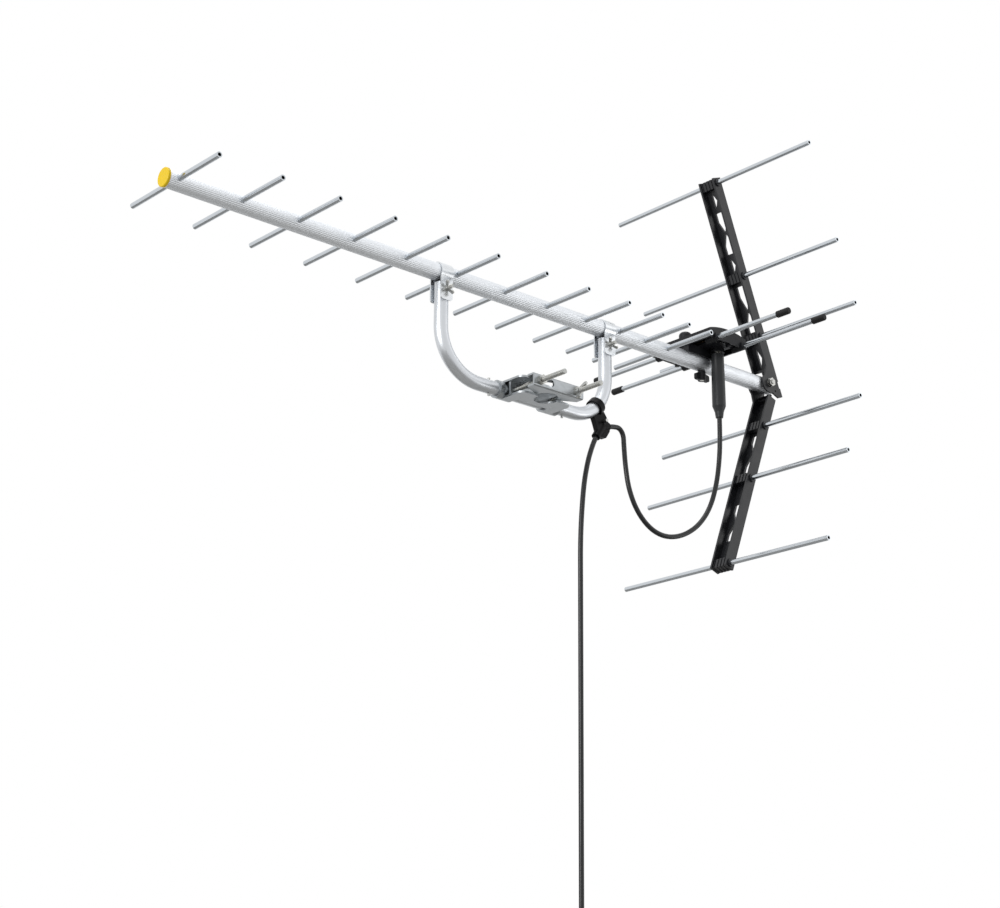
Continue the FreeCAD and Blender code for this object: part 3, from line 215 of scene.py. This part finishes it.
class StageSettings(bpy.types.PropertyGroup):
    lens: bpy.props.FloatProperty(
        name="Focal length", description="Camera lens on a 36 mm wide sensor",
        default=72.19, min=20, max=200, unit="CAMERA")
    viewpoint: bpy.props.FloatVectorProperty(
        name="Viewpoint", description="Place of the camera, below and in front of the antenna",
        size=3, default=(1.44402, 1.54804, -0.76805), subtype="TRANSLATION", unit="LENGTH")
    aim: bpy.props.FloatVectorProperty(
        name="Aim", description="Turn of the camera about X, Y and Z",
        size=3, default=(1.887369, -0.003484, 2.413893), subtype="EULER", unit="ROTATION")
    floor_level: bpy.props.FloatProperty(
        name="Floor level", description="Height of the floor, below the hanging plug and the camera",
        default=-1.05, subtype="DISTANCE", unit="LENGTH")
    floor: tint("Floor", "Pale studio floor", "d4d3d0")
    key_power: bpy.props.FloatProperty(
        name="Key light", description="Soft lamp beside the reflector",
        default=2, min=0, unit="POWER")
    top_power: bpy.props.FloatProperty(
        name="Top light", description="Soft lamp overhead",
        default=22, min=0, unit="POWER")
    fill_power: bpy.props.FloatProperty(
        name="Fill light", description="Soft lamp ahead of the boom",
        default=7, min=0, unit="POWER")
    bounce_power: bpy.props.FloatProperty(
        name="Bounce light", description="Low soft lamp behind the dipole",
        default=0.8, min=0, unit="POWER")


def add_node(tree, kind, sockets=None, **settings):
    """Adds a node, sets its settings, and fills its sockets with values or links."""
    node = tree.nodes.new("ShaderNode" + kind)
    for key, value in settings.items():
        setattr(node, key, value)
    for key, value in (sockets or {}).items():
        if isinstance(value, bpy.types.NodeSocket):
            tree.links.new(value, node.inputs[key])
        else:
            node.inputs[key].default_value = value
    return node


def start_material(name, **constants):
    """A new material with its shader's plain numbers set, as material, tree, shader and coordinates."""
    material = bpy.data.materials.new(name)
    material.use_nodes = True
    tree = material.node_tree
    shader = tree.nodes["Principled BSDF"]
    for key, value in constants.items():
        shader.inputs[key.replace("_", " ")].default_value = value
    place = add_node(tree, "TexCoord").outputs["Object"]
    return material, tree, shader, place


def wire_shader(tree, shader, shade, gloss, relief):
    """Leads a colour mix, a range of roughness and a bump to the shader."""
    tree.links.new(shade.outputs[MIX_RESULT], shader.inputs["Base Color"])
    tree.links.new(gloss.outputs["Result"], shader.inputs["Roughness"])
    tree.links.new(relief.outputs["Normal"], shader.inputs["Normal"])


def scaled(colour, share):
    """A colour made lighter or darker by a share."""
    return tuple(min(1.0, channel * share) for channel in colour)


def opaque(colour, share=1.0):
    """A colour with full alpha, lighter or darker by a share."""
    return scaled(colour, share) + (1.0,)


def drawn_aluminium(name, colour, stretch, roughness):
    """Drawn aluminium: a cool silver with fine lines along the tube, so highlights run lengthwise
    and break up a little across. Lines are drawn about 1 mm apart, coarser than real ones, to show."""
    material, tree, shader, place = start_material(name, Metallic=1.0)
    along = add_node(tree, "Mapping", {"Vector": place, "Scale": stretch})
    lines = add_node(tree, "TexNoise", {"Vector": along.outputs["Vector"], "Scale": 1.0, "Detail": 3.0})
    cloud = add_node(tree, "TexNoise", {"Vector": place, "Scale": 1 / DRAWN_CLOUD, "Detail": 2.0})
    shade = add_node(tree, "Mix", {
        MIX_FACTOR: lines.outputs["Fac"],
        MIX_FIRST: opaque(colour, 0.95), MIX_SECOND: opaque(colour, 1.03)}, data_type="RGBA")
    gloss = add_node(tree, "MapRange", {
        "Value": cloud.outputs["Fac"], "From Min": NOISE_LOW, "From Max": NOISE_HIGH,
        "To Min": roughness - 0.02, "To Max": roughness + 0.03})
    relief = add_node(tree, "Bump", {
        "Height": lines.outputs["Fac"], "Strength": 0.04, "Distance": FINE_RELIEF})
    wire_shader(tree, shader, shade, gloss, relief)
    return material


def rolled_zinc(name, colour, patch_colour, roughness):
    """Plated steel: a soft silver with patches of a second shade, such as the warmer one of a
    passivated zinc, and a fine even grain."""
    material, tree, shader, place = start_material(name, Metallic=1.0)
    patches = add_node(tree, "TexNoise", {"Vector": place, "Scale": 1 / ZINC_PATCH, "Detail": 3.0})
    grain = add_node(tree, "TexNoise", {"Vector": place, "Scale": 1 / ZINC_GRAIN, "Detail": 2.0})
    shade = add_node(tree, "Mix", {
        MIX_FACTOR: patches.outputs["Fac"],
        MIX_FIRST: opaque(colour, 0.92), MIX_SECOND: opaque(patch_colour)}, data_type="RGBA")
    gloss = add_node(tree, "MapRange", {
        "Value": grain.outputs["Fac"], "From Min": NOISE_LOW, "From Max": NOISE_HIGH,
        "To Min": roughness - 0.06, "To Max": roughness + 0.08})
    relief = add_node(tree, "Bump", {
        "Height": grain.outputs["Fac"], "Strength": 0.05, "Distance": GRAIN_RELIEF})
    wire_shader(tree, shader, shade, gloss, relief)
    return material


def galvanised_sheet(colour):
    """Hot-dip galvanised sheet: grey zinc crystals some 6 mm across, each a little lighter or duller."""
    material, tree, shader, place = start_material("galvanised_sheet", Metallic=1.0)
    crystals = add_node(tree, "TexVoronoi", {"Vector": place, "Scale": 1 / ZINC_CRYSTAL})
    value = add_node(tree, "RGBToBW", {"Color": crystals.outputs["Color"]})
    grain = add_node(tree, "TexNoise", {"Vector": place, "Scale": 1 / SHEET_GRAIN, "Detail": 2.0})
    shade = add_node(tree, "Mix", {
        MIX_FACTOR: value.outputs["Val"],
        MIX_FIRST: opaque(colour, 0.82), MIX_SECOND: opaque(colour, 1.08)}, data_type="RGBA")
    gloss = add_node(tree, "MapRange", {"Value": value.outputs["Val"], "To Min": 0.26, "To Max": 0.40})
    relief = add_node(tree, "Bump", {
        "Height": grain.outputs["Fac"], "Strength": 0.12, "Distance": GRAIN_RELIEF})
    wire_shader(tree, shader, shade, gloss, relief)
    return material


def moulded_plastic(name, colour, roughness, grit, strength, shine=0.3, fade=0.25):
    """Moulded plastic or rubber: one even colour with a fine spark-eroded skin that softens its gloss,
    and faint paler bloom from weather."""
    material, tree, shader, place = start_material(name, IOR=PLASTIC_IOR, Specular_IOR_Level=shine)
    skin = add_node(tree, "TexNoise", {"Vector": place, "Scale": 1 / grit, "Detail": 2.0})
    bloom = add_node(tree, "TexNoise", {
        "Vector": place, "Scale": 1 / WEATHER_BLOOM, "Detail": 4.0, "Roughness": 0.6})
    shade = add_node(tree, "Mix", {
        MIX_FACTOR: bloom.outputs["Fac"],
        MIX_FIRST: opaque(colour, 1 - fade), MIX_SECOND: opaque(colour, 1 + fade)}, data_type="RGBA")
    gloss = add_node(tree, "MapRange", {
        "Value": bloom.outputs["Fac"], "From Min": NOISE_LOW, "From Max": NOISE_HIGH,
        "To Min": roughness - 0.05, "To Max": roughness + 0.08})
    relief = add_node(tree, "Bump", {
        "Height": skin.outputs["Fac"], "Strength": strength, "Distance": GRAIN_RELIEF})
    wire_shader(tree, shader, shade, gloss, relief)
    return material


def clear_selection():
    """Object mode with nothing selected."""
    if bpy.context.object and bpy.context.object.mode != "OBJECT":
        bpy.ops.object.mode_set(mode="OBJECT")
    bpy.ops.object.select_all(action="DESELECT")


def select_faces(piece, wanted):
    """Leaves the piece in edit mode with only the wanted faces selected."""
    bpy.ops.object.mode_set(mode="EDIT")
    bpy.ops.mesh.select_mode(type="FACE")
    bpy.ops.mesh.select_all(action="DESELECT")
    bpy.ops.object.mode_set(mode="OBJECT")
    for face in piece.data.polygons:
        face.select = wanted(face)
    bpy.ops.object.mode_set(mode="EDIT")


def settle():
    """Moves the selected piece's place into its mesh."""
    bpy.ops.object.mode_set(mode="OBJECT")
    bpy.ops.object.transform_apply(location=True, rotation=True, scale=True)


def add_head(width, settings):
    """Hexagon head behind the origin, with a rounded outer edge."""
    clear_selection()
    bpy.ops.mesh.primitive_cylinder_add(
        vertices=6, radius=width / math.sqrt(3), depth=settings.head_height,
        location=(0, -settings.head_height / 2, 0), rotation=(QUARTER_TURN, 0, 0))
    head = bpy.context.object
    settle()
    select_faces(head, lambda face: face.normal.y < -0.5)
    bpy.ops.mesh.bevel(offset=settings.head_height / HEAD_EDGE_PARTS, segments=3)
    bpy.ops.object.mode_set(mode="OBJECT")
    return head


def add_thread(length, width, settings):
    """Closed thread from the origin along +Y, made by turning one tooth's outline."""
    clear_selection()
    bpy.ops.mesh.primitive_plane_add(size=settings.pitch)
    thread = bpy.context.object
    bpy.ops.object.mode_set(mode="EDIT")
    bpy.ops.mesh.select_mode(type="VERT")
    bpy.ops.mesh.select_all(action="SELECT")
    bpy.ops.mesh.merge(type="CENTER")
    bpy.ops.mesh.select_all(action="SELECT")
    bpy.ops.transform.translate(value=(width / 2 - settings.depth, 0, 0))
    for rise, run in THREAD_PROFILE:
        step = (rise * settings.depth, 0, run * settings.pitch / 2)
        bpy.ops.mesh.extrude_vertices_move(TRANSFORM_OT_translate={"value": step})
    bpy.ops.object.mode_set(mode="OBJECT")
    turns = thread.modifiers.new("turns", "SCREW")
    turns.axis = "Z"
    turns.screw_offset = settings.pitch
    turns.iterations = round(length / settings.pitch) - 1
    turns.steps = THREAD_FACETS
    turns.render_steps = THREAD_FACETS
    turns.use_merge_vertices = True
    turns.merge_threshold = settings.pitch / WELD_PARTS
    bpy.ops.object.modifier_apply(modifier="turns")
    bpy.ops.object.mode_set(mode="EDIT")
    bpy.ops.mesh.select_all(action="SELECT")
    bpy.ops.mesh.remove_doubles(threshold=settings.pitch / WELD_PARTS)
    bpy.ops.mesh.select_all(action="DESELECT")
    bpy.ops.mesh.select_mode(type="EDGE")
    bpy.ops.mesh.select_non_manifold()
    bpy.ops.mesh.fill_holes(sides=0)
    bpy.ops.mesh.select_all(action="SELECT")
    bpy.ops.mesh.normals_make_consistent(inside=False)
    bpy.ops.object.mode_set(mode="OBJECT")
    thread.rotation_euler = (QUARTER_TURN, 0, 0)
    settle()


def add_bolt(name, length, head_width, settings):
    """Hexagon bolt on the +Y axis, its head behind the origin and a thread down to the end."""
    head = add_head(head_width, settings)
    add_thread(length, head_width * settings.thread_share, settings)
    head.select_set(True)
    bpy.context.view_layer.objects.active = head
    bpy.ops.object.join()
    head.name = name
    bpy.ops.object.shade_smooth_by_angle(angle=SMOOTH_BELOW)
    return head


def copy_piece(piece, name):
    """A second piece with a mesh of its own."""
    clear_selection()
    double = piece.copy()
    double.data = piece.data.copy()
    double.name = name
    bpy.context.scene.collection.objects.link(double)
    return double


def place_piece(piece, place):
    """Moves a finished piece by its mesh, so that its object stays at the origin."""
    clear_selection()
    piece.select_set(True)
    bpy.context.view_layer.objects.active = piece
    piece.location = place
    settle()


def head_seat(node, settings):
    """Middle of a bolt's head, on the face that it presses with."""
    low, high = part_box(node)
    return Vector(((low.x + high.x) / 2, low.y + settings.head_height, (low.z + high.z) / 2))


class ANTENNA_OT_lead(bpy.types.Operator):
    """Lay the coaxial lead along its loop, through the clip and down to the plug"""
    bl_idname = "antenna.lay_lead"
    bl_label = "Lay Lead"

    def execute(self, context):
        settings = context.scene.antenna_lead
        line = bpy.data.curves.new("coaxial_lead", "CURVE")
        line.dimensions = "3D"
        line.bevel_depth = 1    # each knot's radius scales it
        line.bevel_resolution = 6
        line.use_fill_caps = True
        spline = line.splines.new("NURBS")
        route = LOOP_ROUTE + DROP_ROUTE
        spline.points.add(len(route) - 1)
        for knot, place in zip(spline.points, route):
            knot.co = (*place, 1)
            knot.radius = settings.diameter / 2
        spline.order_u = 3
        spline.use_endpoint_u = True
        spline.resolution_u = 10
        lead = bpy.data.objects.new("coaxial_lead", line)
        context.scene.collection.objects.link(lead)
        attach(lead, "antenna")
        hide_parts("coax_loop", "coax_drop")
        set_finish(lead, "lead_sheath")
        return {"FINISHED"}


class ANTENNA_OT_bolts(bpy.types.Operator):
    """Cut the threaded bolts of the boom clamps, the mast clamp and the reflector's pivot"""
    bl_idname = "antenna.cut_bolts"
    bl_label = "Cut Bolts"

    def execute(self, context):
        settings = context.scene.antenna_bolts
        for nodes in BOLT_SETS:
            low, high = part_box(nodes[0])
            size = high - low
            first = add_bolt("threaded_" + nodes[0], size.y - settings.head_height, size.x, settings)
            bolts = [first] + [copy_piece(first, "threaded_" + node) for node in nodes[1:]]
            for bolt, node in zip(bolts, nodes):
                place_piece(bolt, head_seat(node, settings))
                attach(bolt, "antenna")
                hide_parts(node)
                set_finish(bolt, "zinc_steel")
        return {"FINISHED"}


class ANTENNA_OT_finishes(bpy.types.Operator):
    """Give every piece the finish of its material"""
    bl_idname = "antenna.apply_finishes"
    bl_label = "Apply Finishes"

    def execute(self, context):
        tints = context.scene.antenna_finishes
        along = 1 / DRAWN_LINE_LENGTH
        across = 1 / DRAWN_LINE_GAP
        finishes = {
            "boom_aluminium": drawn_aluminium(
                "anodised_aluminium", tints.boom, (along, across, across), roughness=0.40),
            "element_aluminium": drawn_aluminium(
                "drawn_aluminium", tints.rods, (across, along, across), roughness=0.17),
            "stay_aluminium": drawn_aluminium(
                "satin_aluminium", tints.stay, (along, across, along), roughness=0.36),
            "strap_steel": rolled_zinc(
                "bright_zinc", tints.strap, scaled(tints.strap, 1.08), roughness=0.28),
            "zinc_steel": rolled_zinc(
                "passivated_zinc", tints.zinc, tints.passivation, roughness=0.25),
            "galvanised_steel": galvanised_sheet(tints.galvanised),
            "box_plastic": moulded_plastic(
                "black_abs", tints.moulding, roughness=0.42, grit=0.0009, strength=0.12, shine=0.26),
            "arm_plastic": moulded_plastic(
                "black_polypropylene", tints.moulding, roughness=0.38, grit=0.0011, strength=0.14,
                shine=0.50),
            "tip_rubber": moulded_plastic(
                "tip_rubber", tints.rubber, roughness=0.55, grit=0.0008, strength=0.18),
            "boot_rubber": moulded_plastic(
                "boot_rubber", tints.boot, roughness=0.38, grit=0.0008, strength=0.12, shine=0.36),
            "lead_sheath": moulded_plastic(
                "pvc_jacket", tints.sheath, roughness=0.25, grit=0.0015, strength=0.06, shine=0.42),
            "cap_yellow": moulded_plastic(
                "yellow_polyethylene", tints.cap, roughness=0.42, grit=0.001, strength=0.1, fade=0.05),
            "board_laminate": moulded_plastic(
                "paper_laminate", tints.board, roughness=0.5, grit=0.0015, strength=0.1, fade=0.12),
            "plug_metal": rolled_zinc(
                "nickel_plate", tints.plug, scaled(tints.plug, 1.05), roughness=0.22),
        }
        for node in frame["nodes"].values():
            for slot in node.material_slots:
                slot.material = finishes[slot.material.name]
        frame["nodes"]["cable_clip"].material_slots[0].material = moulded_plastic(
            "black_nylon", tints.clip, roughness=0.34, grit=0.0009, strength=0.08, shine=0.12)
        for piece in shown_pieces():
            if "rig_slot" in piece:
                piece.data.materials.clear()
                piece.data.materials.append(finishes[piece["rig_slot"]])
        return {"FINISHED"}


class ANTENNA_OT_stage(bpy.types.Operator):
    """Set the camera, the soft lamps, the floor and the white surroundings"""
    bl_idname = "antenna.set_stage"
    bl_label = "Set Stage"

    def execute(self, context):
        settings = context.scene.antenna_stage
        context.scene.view_settings.view_transform = "Standard"
        self.add_camera(context, settings)
        for name, (power, place, width, spread) in LAMPS.items():
            self.add_lamp(context, name, getattr(settings, power), place, width, spread)
        self.add_floor(settings)
        self.add_surroundings(context)
        return {"FINISHED"}

    def add_camera(self, context, settings):
        camera = bpy.data.objects.new("camera", bpy.data.cameras.new("camera"))
        camera.data.lens = settings.lens
        camera.data.sensor_width = SENSOR_WIDTH
        camera.data.sensor_fit = "HORIZONTAL"
        camera.data.clip_start = NEAREST_SEEN
        camera.location = settings.viewpoint
        camera.rotation_euler = settings.aim
        context.scene.collection.objects.link(camera)
        context.scene.camera = camera

    def add_lamp(self, context, name, power, place, width, spread):
        lamp = bpy.data.objects.new(name, bpy.data.lights.new(name, "AREA"))
        lamp.data.shape = "DISK"
        lamp.data.size = width
        lamp.data.energy = power
        lamp.data.spread = math.radians(spread)
        lamp.location = place
        away = Vector(place) - Vector(LAMP_TARGET)
        lamp.rotation_euler = away.to_track_quat("Z", "Y").to_euler()
        context.scene.collection.objects.link(lamp)

    def add_floor(self, settings):
        clear_selection()
        bpy.ops.mesh.primitive_circle_add(
            vertices=FLOOR_SIDES, radius=FLOOR_RADIUS, fill_type="NGON",
            location=(0, 0, settings.floor_level))
        floor = bpy.context.object
        floor.name = "studio_floor"
        settle()
        floor.data.materials.append(moulded_plastic(
            "painted_floor", settings.floor, roughness=0.7, grit=0.004, strength=0.03, fade=0.01))
        floor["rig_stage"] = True

    def add_surroundings(self, context):
        """White where the camera or a gloss looks, and a softer light on the object."""
        world = bpy.data.worlds.new("studio")
        context.scene.world = world
        world.use_nodes = True
        tree = world.node_tree
        backdrop = tree.nodes["Background"]
        path = add_node(tree, "LightPath")
        seen = add_node(
            tree, "Math", {0: path.outputs["Is Camera Ray"], 1: path.outputs["Is Glossy Ray"]},
            operation="MAXIMUM")
        shown = add_node(
            tree, "Math", {0: seen.outputs["Value"], 1: path.outputs["Is Transmission Ray"]},
            operation="MAXIMUM")
        level = add_node(tree, "MapRange", {
            "Value": shown.outputs["Value"], "To Min": FALLING_LEVEL, "To Max": SHOWN_LEVEL})
        backdrop.inputs["Color"].default_value = (1, 1, 1, 1)
        tree.links.new(level.outputs["Result"], backdrop.inputs["Strength"])


class ANTENNA_PT_dressing(bpy.types.Panel):
    """Sizes, colours and steps of the antenna's dressing"""
    bl_idname = "ANTENNA_PT_dressing"
    bl_label = "Antenna"
    bl_space_type = "VIEW_3D"
    bl_region_type = "UI"
    bl_category = "Antenna"

    def draw(self, context):
        for title, group, step in (
                ("Lead", context.scene.antenna_lead, ANTENNA_OT_lead),
                ("Bolts", context.scene.antenna_bolts, ANTENNA_OT_bolts),
                ("Finishes", context.scene.antenna_finishes, ANTENNA_OT_finishes),
                ("Stage", context.scene.antenna_stage, ANTENNA_OT_stage)):
            box = self.layout.box()
            box.label(text=title)
            for key in group.__annotations__:
                box.prop(group, key)
            box.operator(step.bl_idname)


GROUPS = {
    "antenna_lead": LeadSettings,
    "antenna_bolts": BoltSettings,
    "antenna_finishes": FinishSettings,
    "antenna_stage": StageSettings,
}
CLASSES = (
    *GROUPS.values(), ANTENNA_OT_lead, ANTENNA_OT_bolts, ANTENNA_OT_finishes, ANTENNA_OT_stage,
    ANTENNA_PT_dressing,
)


def register():
    for cls in CLASSES:
        bpy.utils.register_class(cls)
    for name, group in GROUPS.items():
        setattr(bpy.types.Scene, name, bpy.props.PointerProperty(type=group))


def unregister():
    for name in GROUPS:
        delattr(bpy.types.Scene, name)
    for cls in reversed(CLASSES):
        bpy.utils.unregister_class(cls)


def main():
    register()
    bpy.ops.antenna.set_stage()
    bpy.ops.antenna.lay_lead()
    bpy.ops.antenna.cut_bolts()
    bpy.ops.antenna.apply_finishes()


if __name__ == "__main__":
    main()
